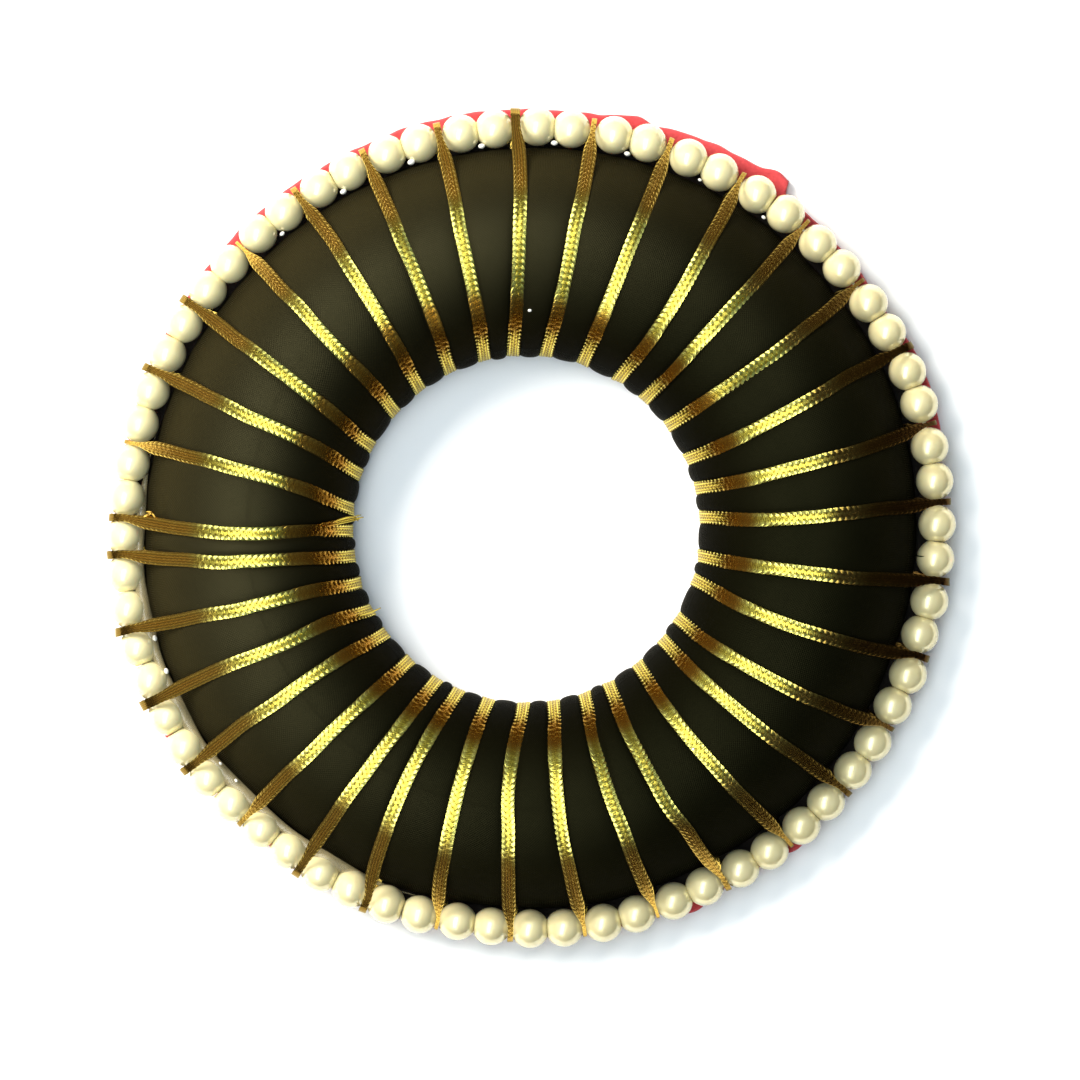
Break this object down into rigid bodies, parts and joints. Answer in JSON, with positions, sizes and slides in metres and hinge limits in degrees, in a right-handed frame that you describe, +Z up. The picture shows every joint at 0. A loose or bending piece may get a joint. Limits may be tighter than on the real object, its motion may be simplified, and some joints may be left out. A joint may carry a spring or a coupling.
{
  "type": "hair bun ring",
  "caption": "Round hair bun ring: padded half-round body wound with gold braid, a string of pearls round its rim and a red cloth backing. The bun comes up through the hole.",
  "frame": {"origin": "centre of the string of pearls, on the underside of the cloth backing", "axes": "+Z up through the hole, away from the backing; +X to the right of the picture"},
  "size_m": [0.1, 0.1, 0.0139],
  "materials": {
    "padded_ring": "black satin thread wound close over padding, soft sheen",
    "gold_braid": "flat woven metallic braid, glittering gold",
    "pearls": "cream imitation pearl, glossy nacre lacquer",
    "pearl_thread": "pale strong thread",
    "cloth_backing": "red cloth, thin felt, hand-cut edge"
  },
  "bodies": {
    "root": {"padded_ring": "padded_ring", "gold_braid": "gold_braid", "pearls": "pearls", "pearl_thread": "pearl_thread", "cloth_backing": "cloth_backing"}
  },
  "joints": []
}
